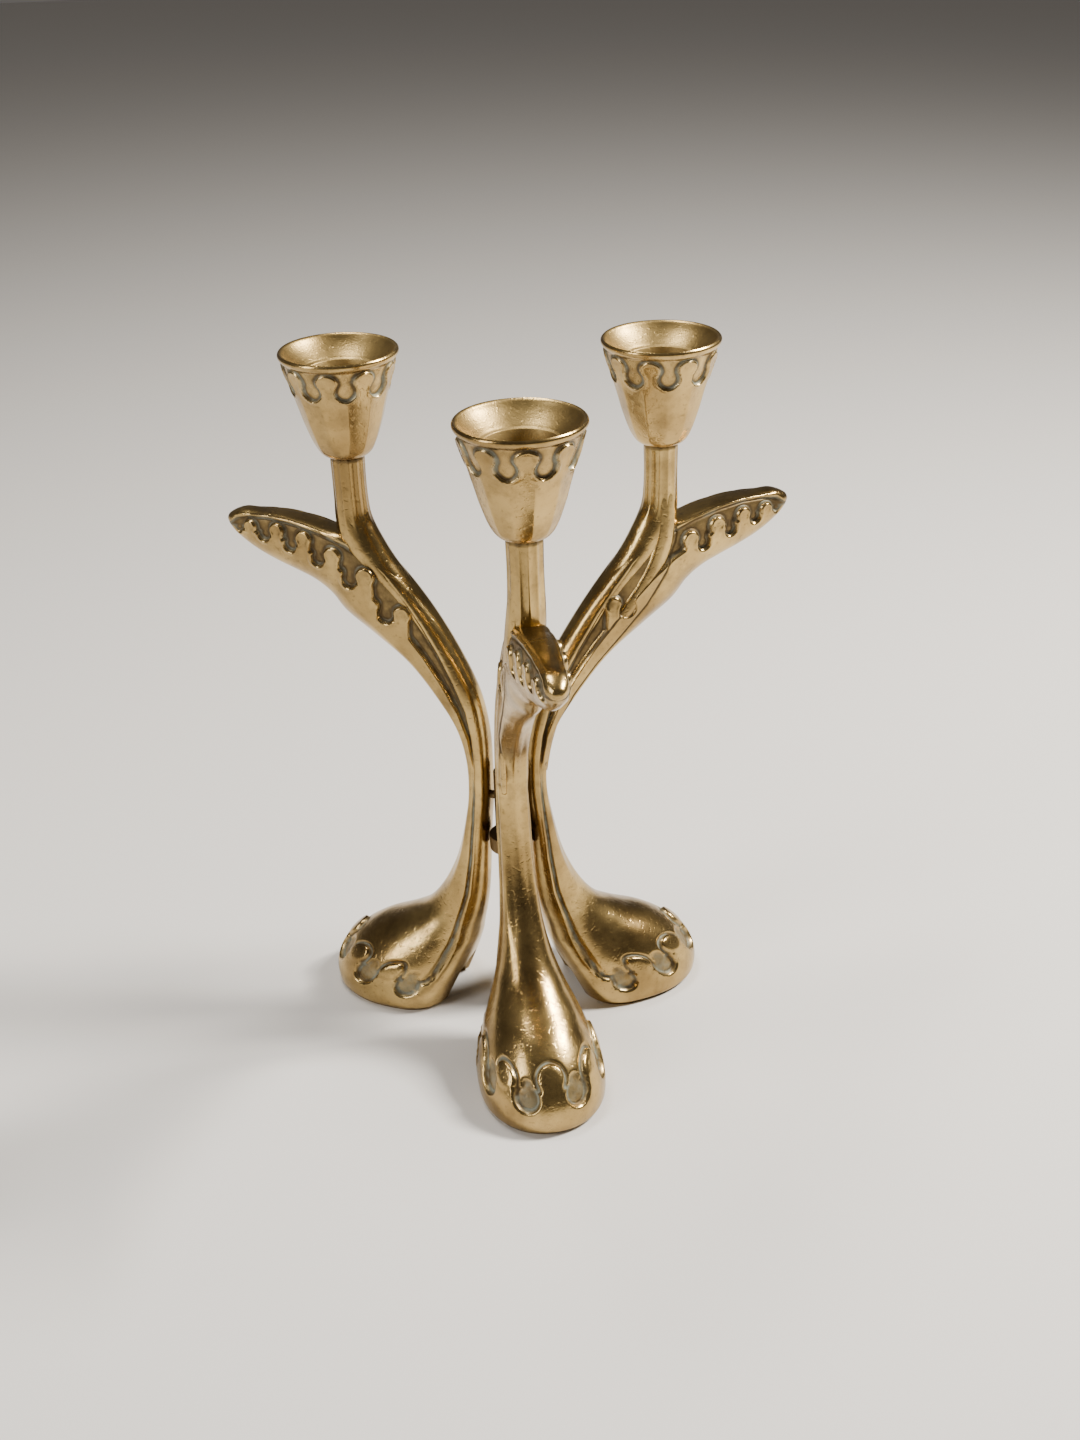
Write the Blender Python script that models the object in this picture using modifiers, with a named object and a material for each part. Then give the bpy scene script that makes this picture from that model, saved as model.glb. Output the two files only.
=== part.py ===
"""Tabletop candelabra: three brass arm castings back to back round a small core, each with a bell cup.

Metres, +Z up. The origin is the middle of the bounding box, at the floor.
"""

import math

import bmesh
import bpy
from mathutils import Matrix, Vector

MM = 0.001

# Where the three arms point, as angles about Z from +X
ARM_ANGLES = {"front": -81.3, "left": 156.0, "right": 21.0}

# How far each casting is bent outwards at its foot and at its cup, in mm
FOOT_BEND = {"front": 0.0, "left": -4.0, "right": -4.5}
CUP_BEND = {"front": 0.4, "left": -2.8, "right": 4.4}

# Overall size of a casting, in mm: the leaf's top above the floor, then the leaf's tip and
# the toe out from the middle of the stand
ARM_HEIGHT = 191.8
ARM_REACH = 106.0
FOOT_REACH = 77.5

# Half widths of a casting at its foot, its stem and its leaf
FOOT_HALF_WIDTH = 21.6
STEM_HALF_WIDTH = 5.5
LEAF_HALF_WIDTH = 7.8

# Neck, a twelve-sided post under each cup, and how deep its root is in the branch
CUP_REACH = 56.3
NECK_RADIUS = 5.9
NECK_LENGTH = 23.2
NECK_SINK = 15.8
NECK_SIDES = 12

# Cup: its height, its rim, the candle socket, the dish above it and the wall round it
CUP_HEIGHT = 36.0
RIM_RADIUS = 20.0
RIM_EDGE = 1.5
SOCKET_RADIUS = 11.3
SOCKET_DEPTH = 12.2
SOCKET_WALL = 3.0
DISH_DEPTH = 6.8
BASE_OVERHANG = 0.5
CUP_STEPS = 32

# Gaps between parts that touch on the real piece
JOINT_GAP = 0.3
SCREW_GAP = 0.3

# Screw that holds the cup on the neck
SCREW_RADIUS = 2.0
SCREW_HEAD_RADIUS = 4.2
SCREW_HEAD_HEIGHT = 2.0
SCREW_DEPTH = 12.0
SLOT_WIDTH = 1.0
SLOT_DEPTH = 1.0
HEAD_RECESS = 0.5

# Raised strip that carries the neck on down one side of the branch: the points below the
# neck, and how far off the middle of the leaf it runs from the neck down
STRIP_RADIUS = 2.6
STRIP_POINTS = [(51.0, 167.0), (43.5, 156.5), (34.0, 147.0), (24.5, 137.0), (17.5, 124.0)]
STRIP_SIDES = [4.2, 5.0, 5.0, 4.7, 4.3, 3.6, 2.6]

# Foot shell and the arch at its heel
FOOT_WALL = 3.2
ARCH_HALF_WIDTH = 9.0
ARCH_TOP = 18.0
ARCH_REACH = 16.0

# Core between the three stems, standing clear of them, and the pins that locate the stems on it
CORE_CLEARANCE = 1.5
CORE_LENGTH = 26.0
FLANGE_CLEARANCE = 1.1
FLANGE_THICKNESS = 5.0
PIN_RADIUS = 1.5
PIN_IN_CORE = 2.6
PIN_IN_STEM = 4.9
PIN_GAP = 0.3

# Shape of a casting, as stations from the floor up to the leaf tip, which the sizes above stretch:
# inner r, inner z, outer r, outer z, half width, where it is widest, inner and outer squareness
ARM_STATIONS = [
    (30.0, 0.0, 76.5, 0.0, 21.3, 0.45, 3.0, 2.1),
    (27.5, 6.0, 77.5, 6.0, 21.6, 0.45, 3.0, 2.1),
    (25.0, 12.0, 75.5, 12.5, 20.9, 0.45, 2.8, 2.1),
    (22.4, 18.5, 70.3, 19.5, 18.8, 0.43, 2.6, 2.1),
    (20.0, 25.0, 61.5, 26.3, 15.8, 0.42, 2.4, 2.1),
    (17.6, 32.0, 49.5, 32.5, 12.6, 0.42, 2.2, 2.1),
    (15.2, 40.0, 38.5, 39.5, 9.9, 0.44, 2.2, 2.1),
    (12.7, 50.0, 29.0, 50.5, 7.7, 0.47, 2.2, 2.2),
    (10.5, 62.0, 22.0, 63.0, 6.4, 0.50, 2.3, 2.3),
    (8.6, 75.0, 17.4, 77.0, 5.7, 0.50, 2.4, 2.4),
    (6.9, 90.0, 14.7, 92.0, 5.5, 0.50, 2.4, 2.4),
    (6.5, 104.0, 15.0, 106.0, 5.5, 0.50, 2.4, 2.4),
    (7.6, 118.0, 18.8, 118.0, 5.7, 0.50, 2.4, 2.4),
    (10.9, 131.5, 26.5, 129.0, 6.0, 0.50, 2.4, 2.4),
    (18.0, 145.5, 37.0, 140.5, 6.4, 0.48, 2.5, 2.3),
    (27.5, 160.0, 49.5, 149.5, 6.9, 0.46, 2.6, 2.2),
    (38.0, 172.5, 60.5, 157.0, 7.4, 0.42, 2.8, 2.1),
    (47.0, 180.5, 66.2, 163.3, 7.7, 0.38, 3.0, 2.0),
    (56.0, 185.5, 72.0, 167.3, 7.8, 0.34, 3.2, 2.0),
    (66.0, 188.8, 79.0, 170.0, 7.5, 0.32, 3.4, 2.0),
    (77.0, 191.0, 86.5, 172.5, 6.8, 0.32, 3.4, 2.0),
    (87.0, 191.8, 93.3, 175.3, 6.0, 0.34, 3.2, 2.0),
    (96.0, 191.2, 99.2, 178.8, 5.0, 0.38, 2.8, 2.0),
    (102.2, 190.0, 103.6, 182.6, 3.6, 0.44, 2.4, 2.0),
    (105.6, 188.0, 106.0, 186.0, 1.4, 0.50, 2.0, 2.0),
]
WAIST_STATION = 11
ARM_AROUND = 20
STEPS_PER_STATION = 2
FOOT_STATIONS = 5

# Sizes of the shape as it is drawn in the table
WAIST_R, _, STEM_R, WAIST_Z, DRAWN_STEM_HALF = ARM_STATIONS[WAIST_STATION][:5]
DRAWN_HEIGHT = max(row[1] for row in ARM_STATIONS)
DRAWN_ARM_REACH = ARM_STATIONS[-1][2]
DRAWN_FOOT_REACH = max(row[2] for row in ARM_STATIONS[:FOOT_STATIONS])
DRAWN_FOOT_HALF = max(row[4] for row in ARM_STATIONS[:FOOT_STATIONS])
DRAWN_LEAF_HALF = max(row[4] for row in ARM_STATIONS[WAIST_STATION:])
RISE = ARM_HEIGHT / DRAWN_HEIGHT

# Heights, in mm above the floor, that follow from the sizes
CUP_FOOT = ARM_HEIGHT + NECK_LENGTH
CUP_TOP = CUP_FOOT + CUP_HEIGHT
SOCKET_MOUTH = CUP_TOP - DISH_DEPTH
SOCKET_FLOOR = SOCKET_MOUTH - SOCKET_DEPTH
NECK_ROOT = ARM_HEIGHT - NECK_SINK
PIN_HEIGHT = 91.0 * RISE
CORE_HIGH = PIN_HEIGHT + 0.42 * CORE_LENGTH
CORE_LOW = CORE_HIGH - CORE_LENGTH
FLANGE_LOW = CORE_LOW - FLANGE_THICKNESS
FOOT_BEND_ENDS = (25.0 * RISE, 85.0 * RISE)
CUP_BEND_ENDS = (95.0 * RISE, 176.0 * RISE)


def clear_scene():
    for obj in list(bpy.data.objects):
        bpy.data.objects.remove(obj, do_unlink=True)


def new_collection(name):
    found = bpy.data.collections.new(name)
    bpy.context.scene.collection.children.link(found)
    return found


def material(name, colour, roughness):
    made = bpy.data.materials.new(name)
    made.use_nodes = True
    shader = made.node_tree.nodes["Principled BSDF"]
    shader.inputs["Base Color"].default_value = (*colour, 1.0)
    shader.inputs["Roughness"].default_value = roughness
    shader.inputs["Metallic"].default_value = 1.0
    return made


def mesh_object(name, bm, collection):
    bmesh.ops.remove_doubles(bm, verts=bm.verts[:], dist=1e-6)
    bmesh.ops.recalc_face_normals(bm, faces=bm.faces[:])
    mesh = bpy.data.meshes.new(name)
    bm.to_mesh(mesh)
    bm.free()
    made = bpy.data.objects.new(name, mesh)
    collection.objects.link(made)
    return made


def make_cutter(name, bm):
    made = mesh_object(name, bm, cutters)
    made.hide_render = True
    made.display_type = "WIRE"
    made.parent = stand
    return made


def combine(target, other, operation):
    boolean = target.modifiers.new(other.name, "BOOLEAN")
    boolean.operation = operation
    boolean.object = other
    boolean.solver = "EXACT"


def smooth(made, degrees=35.0):
    """Shades a round piece smooth, leaving its real corners sharp."""
    for face in made.data.polygons:
        face.use_smooth = True
    made.data.set_sharp_from_angle(angle=math.radians(degrees))


def cylinder(radius, low, high, segments=24, top_radius=None):
    """A turned plug standing on Z between two heights, in mm."""
    bm = bmesh.new()
    bmesh.ops.create_cone(
        bm,
        cap_ends=True,
        segments=segments,
        radius1=radius * MM,
        radius2=(top_radius or radius) * MM,
        depth=(high - low) * MM,
    )
    bmesh.ops.translate(bm, verts=bm.verts[:], vec=(0, 0, (low + high) / 2 * MM))
    return bm


def moved(bm, matrix):
    bmesh.ops.transform(bm, matrix=matrix, verts=bm.verts[:])
    return bm


def arm_matrix(angle):
    return Matrix.Rotation(math.radians(angle), 4, "Z")


def cup_matrix(place):
    reach = CUP_REACH + CUP_BEND[place]
    return arm_matrix(ARM_ANGLES[place]) @ Matrix.Translation((reach * MM, 0, 0))


def foot_matrix(place):
    return arm_matrix(ARM_ANGLES[place]) @ Matrix.Translation((FOOT_BEND[place] * MM, 0, 0))


def ease(value, start, end):
    t = min(max((value - start) / (end - start), 0.0), 1.0)
    return t * t * (3 - 2 * t)


def bent(points, place):
    """Moves points of one arm outwards by that casting's own bend at their height."""
    for point in points:
        at_foot = FOOT_BEND[place] * (1 - ease(point.z, *FOOT_BEND_ENDS))
        at_cup = CUP_BEND[place] * ease(point.z, *CUP_BEND_ENDS)
        point.x += at_foot + at_cup
    return points


def catmull(rows, at):
    """A smooth value between the rows of a table."""
    last = len(rows) - 1
    i = min(int(at), last - 1)
    t = at - i
    a, b, c, d = (rows[min(max(j, 0), last)] for j in (i - 1, i, i + 1, i + 2))
    return [
        0.5 * (2 * q + (r - p) * t + (2 * p - 5 * q + 4 * r - s) * t**2 + (3 * q - p - 3 * r + s) * t**3)
        for p, q, r, s in zip(a, b, c, d)
    ]


def sized(r, z):
    """Stretches a drawn point to the casting's size: beyond the stem in r, and all the way up in z."""
    stretch = FOOT_REACH - STEM_R, DRAWN_FOOT_REACH - STEM_R
    if z > WAIST_Z:
        stretch = ARM_REACH - STEM_R, DRAWN_ARM_REACH - STEM_R
    return r + max(r - STEM_R, 0.0) * (stretch[0] / stretch[1] - 1), z * RISE


def sized_half(half, z):
    """Stretches a drawn half width between the stem's own and the foot's or the leaf's."""
    wide, drawn = (LEAF_HALF_WIDTH, DRAWN_LEAF_HALF) if z > WAIST_Z else (FOOT_HALF_WIDTH, DRAWN_FOOT_HALF)
    if half < DRAWN_STEM_HALF:
        return half
    share = (half - DRAWN_STEM_HALF) / (drawn - DRAWN_STEM_HALF)
    return STEM_HALF_WIDTH + share * (wide - STEM_HALF_WIDTH)


def sized_row(row):
    inner_r, inner_z, outer_r, outer_z, half = row[:5]
    return (*sized(inner_r, inner_z), *sized(outer_r, outer_z), sized_half(half, inner_z), *row[5:])


def stem_inner_radius(height):
    """The inner side of the stems at a height, straight between stations."""
    for low, high in zip(ARM_ROWS, ARM_ROWS[1:]):
        if low[1] <= height <= high[1]:
            return low[0] + (high[0] - low[0]) * (height - low[1]) / (high[1] - low[1])
    raise ValueError("no stem at that height")


def section(row, around, inset=0.0):
    """Points of one arm section, an oval that is squarer on one side, in (r, t, z) mm."""
    inner_r, inner_z, outer_r, outer_z, half, widest, square_in, square_out = row
    start = Vector((inner_r, 0, inner_z))
    along = Vector((outer_r, 0, outer_z)) - start
    length = along.length
    direction = along.normalized()
    start = start + direction * inset
    length -= 2 * inset
    half -= inset
    points = []
    for k in range(around):
        turn = 2 * math.pi * k / around
        c, s = math.cos(turn), math.sin(turn)
        square = square_in if c > 0 else square_out
        reach = abs(c) ** (2 / square)
        side = math.copysign(abs(s) ** (2 / square), s) * half
        place = widest * (1 - reach) if c > 0 else widest + (1 - widest) * reach
        points.append(start + direction * (place * length) + Vector((0, side, 0)))
    return points


def loft(sections):
    """Skins a list of sections and closes both ends."""
    bm = bmesh.new()
    rings = [[bm.verts.new(p * MM) for p in points] for points in sections]
    for low, high in zip(rings, rings[1:]):
        for k in range(len(low)):
            n = (k + 1) % len(low)
            bm.faces.new((low[k], low[n], high[n], high[k]))
    for ring in (rings[0], rings[-1]):
        middle = bm.verts.new(sum((v.co for v in ring), Vector()) / len(ring))
        for k in range(len(ring)):
            bm.faces.new((ring[k], ring[(k + 1) % len(ring)], middle))
    return bm


def turned(name, profile, collection, steps):
    """A profile spun round Z; it runs from the top down the outer side and back up the inner one."""
    bm = bmesh.new()
    verts = [bm.verts.new((r * MM, 0, z * MM)) for r, z in profile]
    for a, b in zip(verts, verts[1:] + verts[:1]):
        bm.edges.new((a, b))
    mesh = bpy.data.meshes.new(name)
    bm.to_mesh(mesh)
    bm.free()
    made = bpy.data.objects.new(name, mesh)
    collection.objects.link(made)
    screw = made.modifiers.new("turn", "SCREW")
    screw.axis = "Z"
    screw.steps = steps
    screw.render_steps = steps
    screw.use_merge_vertices = True
    screw.merge_threshold = 0.00001
    screw.use_smooth_shade = True
    return made


clear_scene()
parts = new_collection("tabletop_candelabra")
cutters = new_collection("cutters")
stand = bpy.data.objects.new("stand", None)
parts.objects.link(stand)

arm_brass = material("arm_brass", (0.43, 0.27, 0.11), 0.34)
cup_brass = material("cup_brass", (0.47, 0.30, 0.13), 0.30)
core_brass = material("core_brass", (0.30, 0.18, 0.08), 0.45)
screw_brass = material("screw_brass", (0.50, 0.36, 0.18), 0.40)

# Arm castings: a hollow foot, a stem, a branch and a leaf in one loft, with the neck on top

ARM_ROWS = [sized_row(row) for row in ARM_STATIONS]
FINE_ROWS = [
    catmull(ARM_ROWS, i / STEPS_PER_STATION)
    for i in range((len(ARM_ROWS) - 1) * STEPS_PER_STATION + 1)
]
HEEL_R = ARM_ROWS[0][0]
CORE_RADIUS = ARM_ROWS[WAIST_STATION][0] - CORE_CLEARANCE
FLANGE_RADIUS = stem_inner_radius(CORE_LOW) - FLANGE_CLEARANCE
PIN_INNER = CORE_RADIUS - PIN_IN_CORE
PIN_OUTER = ARM_ROWS[WAIST_STATION][0] + PIN_IN_STEM

for place, angle in ARM_ANGLES.items():
    casting = loft([bent(section(row, ARM_AROUND), place) for row in FINE_ROWS])
    arm = mesh_object("arm_" + place, moved(casting, arm_matrix(angle)), parts)
    arm.parent = stand
    arm.data.materials.append(arm_brass)

    neck = make_cutter(
        "neck_body_" + place,
        moved(cylinder(NECK_RADIUS, NECK_ROOT, CUP_FOOT - JOINT_GAP, NECK_SIDES), cup_matrix(place)),
    )
    combine(arm, neck, "UNION")

    top_points = [(CUP_REACH, ARM_HEIGHT), (CUP_REACH, ARM_HEIGHT - 12.0)]
    strip_points = top_points + [sized(*point) for point in STRIP_POINTS]
    aside = LEAF_HALF_WIDTH / DRAWN_LEAF_HALF
    path = bent([Vector((r, -side * aside, z)) for (r, z), side in zip(strip_points, STRIP_SIDES)], place)
    rings = []
    for i, point in enumerate(path):
        heading = (path[min(i + 1, len(path) - 1)] - path[max(i - 1, 0)]).normalized()
        level = Vector((0, 1, 0)).cross(heading).normalized()
        across = heading.cross(level)
        rings.append(
            [
                point + (level * math.cos(a) + across * math.sin(a)) * STRIP_RADIUS
                for a in (2 * math.pi * k / 10 for k in range(10))
            ]
        )
    strip = make_cutter("strip_body_" + place, moved(loft(rings), arm_matrix(angle)))
    combine(arm, strip, "UNION")

    hollow_rows = [section(catmull(ARM_ROWS, s / 2), 16, FOOT_WALL) for s in range(2 * FOOT_STATIONS - 1)]
    for point in hollow_rows[0]:
        point.z = -4.0
    hollow = make_cutter("foot_hollow_" + place, moved(loft(hollow_rows), foot_matrix(place)))
    combine(arm, hollow, "DIFFERENCE")

    arch = cylinder(ARCH_HALF_WIDTH, HEEL_R - 20.0, HEEL_R + ARCH_REACH, 24)
    arch_height = Matrix.Translation((0, 0, (ARCH_TOP - ARCH_HALF_WIDTH) * MM))
    moved(arch, foot_matrix(place) @ arch_height @ Matrix.Rotation(math.pi / 2, 4, "Y"))
    combine(arm, make_cutter("heel_arch_" + place, arch), "DIFFERENCE")

    legs = bmesh.new()
    bmesh.ops.create_cube(legs, size=1.0)
    leg_top = ARCH_TOP - ARCH_HALF_WIDTH
    leg_size = ((20.0 + ARCH_REACH) * MM, 2 * ARCH_HALF_WIDTH * MM, (leg_top + 4) * MM)
    bmesh.ops.scale(legs, verts=legs.verts[:], vec=leg_size)
    leg_middle = (HEEL_R + (ARCH_REACH - 20.0) / 2) * MM
    moved(legs, foot_matrix(place) @ Matrix.Translation((leg_middle, 0, (leg_top - 4) / 2 * MM)))
    combine(arm, make_cutter("heel_gap_" + place, legs), "DIFFERENCE")

    tapping = make_cutter(
        "neck_tapping_" + place,
        moved(
            cylinder(SCREW_RADIUS + SCREW_GAP, CUP_FOOT - SCREW_DEPTH - 2, CUP_FOOT + 2, 12),
            cup_matrix(place),
        ),
    )
    combine(arm, tapping, "DIFFERENCE")

    pin_level = Matrix.Translation((0, 0, PIN_HEIGHT * MM))
    pin_way = arm_matrix(angle) @ pin_level @ Matrix.Rotation(math.pi / 2, 4, "Y")
    pin_hole = make_cutter(
        "pin_hole_" + place,
        moved(cylinder(PIN_RADIUS + PIN_GAP, PIN_INNER - 0.5, PIN_OUTER + PIN_GAP, 12), pin_way),
    )
    combine(arm, pin_hole, "DIFFERENCE")

    pin_body = moved(cylinder(PIN_RADIUS, PIN_INNER, PIN_OUTER, 12), pin_way)
    pin = mesh_object("hub_pin_" + place, pin_body, parts)
    pin.parent = stand
    pin.data.materials.append(core_brass)
    smooth(arm)
    smooth(pin)

# Core: a short turned post with a flange under it, drilled for the three pins

core = mesh_object("hub_core", cylinder(CORE_RADIUS, FLANGE_LOW, CORE_HIGH, 24), parts)
core.parent = stand
core.data.materials.append(core_brass)
flange = make_cutter("core_flange", cylinder(FLANGE_RADIUS, FLANGE_LOW - 0.5, CORE_LOW, 24))
combine(core, flange, "UNION")
for place in ARM_ANGLES:
    combine(core, bpy.data.objects["pin_hole_" + place], "DIFFERENCE")
smooth(core)

# Cups: a flared bell with a rolled rim, a dish, a straight candle socket and a recess for the screw's head

HEAD_SEAT = SOCKET_FLOOR - HEAD_RECESS - SCREW_HEAD_HEIGHT - JOINT_GAP
BASE_RADIUS = NECK_RADIUS + BASE_OVERHANG
BODY_RADIUS = SOCKET_RADIUS + SOCKET_WALL
LIP_RADIUS = RIM_RADIUS - 0.8
LIP_LOW = CUP_TOP - 2.5
MOUTH_RADIUS = SOCKET_RADIUS + 0.9


def between(low, high, *shares):
    """Points (r, z) on the way from one to another, at a share of the way in r and in z."""
    return [(low[0] + (high[0] - low[0]) * r, low[1] + (high[1] - low[1]) * z) for r, z in shares]


lip = [
    (RIM_RADIUS - 0.7, CUP_TOP),
    (RIM_RADIUS, CUP_TOP - 0.6),
    (RIM_RADIUS, CUP_TOP - 1.5),
    (LIP_RADIUS, LIP_LOW),
]
side = between((BODY_RADIUS, SOCKET_FLOOR), (LIP_RADIUS, LIP_LOW), (0.84, 0.79), (0.49, 0.465), (0.0, 0.0))
base_low = (BASE_RADIUS, CUP_FOOT)
base = between(base_low, (BODY_RADIUS, SOCKET_FLOOR), (0.72, 0.47), (0.39, 0.176), (0.18, 0.047))
dish_low = (MOUTH_RADIUS, SOCKET_MOUTH + 0.2)
dish_high = (RIM_RADIUS - RIM_EDGE, CUP_TOP - 0.3)
dish = between(dish_low, dish_high, (0.44, 0.365), (0.825, 0.745))
CUP_PROFILE = [
    *lip,
    *side,
    *base,
    base_low,
    (SCREW_RADIUS + SCREW_GAP, CUP_FOOT),
    (SCREW_RADIUS + SCREW_GAP, HEAD_SEAT),
    (SCREW_HEAD_RADIUS + SCREW_GAP, HEAD_SEAT),
    (SCREW_HEAD_RADIUS + SCREW_GAP, SOCKET_FLOOR),
    (SOCKET_RADIUS, SOCKET_FLOOR),
    (SOCKET_RADIUS, SOCKET_MOUTH),
    dish_low,
    *dish,
    dish_high,
]

for place in ARM_ANGLES:
    cup = turned("cup_" + place, CUP_PROFILE, parts, CUP_STEPS)
    cup.parent = stand
    cup.matrix_local = cup_matrix(place)
    cup.data.materials.append(cup_brass)

    head_low = HEAD_SEAT + JOINT_GAP
    screw = mesh_object(
        "cup_screw_" + place,
        moved(cylinder(SCREW_HEAD_RADIUS, head_low, head_low + SCREW_HEAD_HEIGHT, 20), cup_matrix(place)),
        parts,
    )
    screw.parent = stand
    screw.data.materials.append(screw_brass)
    shank = cylinder(SCREW_RADIUS, CUP_FOOT - SCREW_DEPTH, head_low + 0.5, 12)
    combine(screw, make_cutter("screw_shank_" + place, moved(shank, cup_matrix(place))), "UNION")
    slot = bmesh.new()
    bmesh.ops.create_cube(slot, size=1.0)
    slot_size = (3 * SCREW_HEAD_RADIUS * MM, SLOT_WIDTH * MM, 2 * SLOT_DEPTH * MM)
    bmesh.ops.scale(slot, verts=slot.verts[:], vec=slot_size)
    moved(slot, cup_matrix(place) @ Matrix.Translation((0, 0, (head_low + SCREW_HEAD_HEIGHT) * MM)))
    combine(screw, make_cutter("screw_slot_" + place, slot), "DIFFERENCE")
    smooth(screw)

# The frame: the middle of the bounding box at the floor becomes the origin

bpy.context.view_layer.update()
graph = bpy.context.evaluated_depsgraph_get()
corners = []
for obj in parts.objects:
    if obj.type == "MESH":
        solid = obj.evaluated_get(graph)
        corners += [solid.matrix_world @ v.co for v in solid.data.vertices]
low = [min(c[i] for c in corners) for i in range(3)]
high = [max(c[i] for c in corners) for i in range(3)]
stand.location = (-(low[0] + high[0]) / 2, -(low[1] + high[1]) / 2, -low[2])
print("frame shift, m", tuple(stand.location))
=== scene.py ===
import math

import bmesh
import bpy
import numpy as np
from mathutils import Matrix, Vector


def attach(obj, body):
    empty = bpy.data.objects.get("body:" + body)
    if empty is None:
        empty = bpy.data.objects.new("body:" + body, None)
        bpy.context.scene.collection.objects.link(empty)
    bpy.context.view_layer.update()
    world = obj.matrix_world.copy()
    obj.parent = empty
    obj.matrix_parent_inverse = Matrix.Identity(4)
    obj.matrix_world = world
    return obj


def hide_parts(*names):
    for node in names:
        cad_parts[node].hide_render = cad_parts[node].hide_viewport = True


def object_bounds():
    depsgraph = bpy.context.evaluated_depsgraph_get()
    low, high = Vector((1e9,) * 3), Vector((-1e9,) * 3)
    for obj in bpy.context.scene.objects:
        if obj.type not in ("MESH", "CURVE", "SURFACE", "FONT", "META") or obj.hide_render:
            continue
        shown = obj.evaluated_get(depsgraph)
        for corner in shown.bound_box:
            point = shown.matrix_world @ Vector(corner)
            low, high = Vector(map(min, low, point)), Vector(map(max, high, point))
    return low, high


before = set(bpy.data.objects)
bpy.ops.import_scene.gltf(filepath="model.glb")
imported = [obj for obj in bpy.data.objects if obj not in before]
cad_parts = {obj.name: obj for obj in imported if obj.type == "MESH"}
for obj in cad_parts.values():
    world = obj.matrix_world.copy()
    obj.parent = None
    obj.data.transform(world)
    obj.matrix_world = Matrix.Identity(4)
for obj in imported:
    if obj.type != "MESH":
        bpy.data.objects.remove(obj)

cad_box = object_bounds()

# ---------------------------------------------------------------------------
# Camera: a short telephoto before the front arm, looking down at about thirty degrees
# ---------------------------------------------------------------------------

camera_pitch = math.radians(28.64)
camera_yaw = math.radians(1.04)
camera_roll = math.radians(-1.97)
camera_place = (-0.00145, -0.49225, 0.40759)
SENSOR_WIDTH = 36.0
LENS = 42.4
NEAREST_SEEN = 0.01

level = Vector((math.cos(camera_yaw), -math.sin(camera_yaw), 0))
forward = Vector(
    (
        math.sin(camera_yaw) * math.cos(camera_pitch),
        math.cos(camera_yaw) * math.cos(camera_pitch),
        -math.sin(camera_pitch),
    )
)
upward = level.cross(forward)
right = level * math.cos(camera_roll) + upward * math.sin(camera_roll)
top = upward * math.cos(camera_roll) - level * math.sin(camera_roll)
camera_data = bpy.data.cameras.new("camera")
camera_data.sensor_width = SENSOR_WIDTH
camera_data.lens = LENS
camera_data.clip_start = NEAREST_SEEN
camera = bpy.data.objects.new("camera", camera_data)
facing = Matrix((right, top, -forward)).transposed().to_4x4()
camera.matrix_world = Matrix.Translation(camera_place) @ facing
bpy.context.scene.collection.objects.link(camera)
bpy.context.scene.camera = camera


# ---------------------------------------------------------------------------
# Arm castings: each is one brass casting, a hollow foot, a stem, a branch and a leaf,
# cast in relief with drips and knobs. Three of them stand back to back, each bent a
# little its own way, and are polished on the high places only.
# ---------------------------------------------------------------------------

ARM_ANGLES = {"front": -81.3, "left": 156.0, "right": 21.0}
FOOT_BEND = {"front": 0.0, "left": -4.0, "right": -4.5}
CUP_BEND = {"front": 0.4, "left": -2.8, "right": 4.4}
# The common axis of the three castings, in mm
AXIS_X = -4.361
AXIS_Y = 30.648

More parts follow.
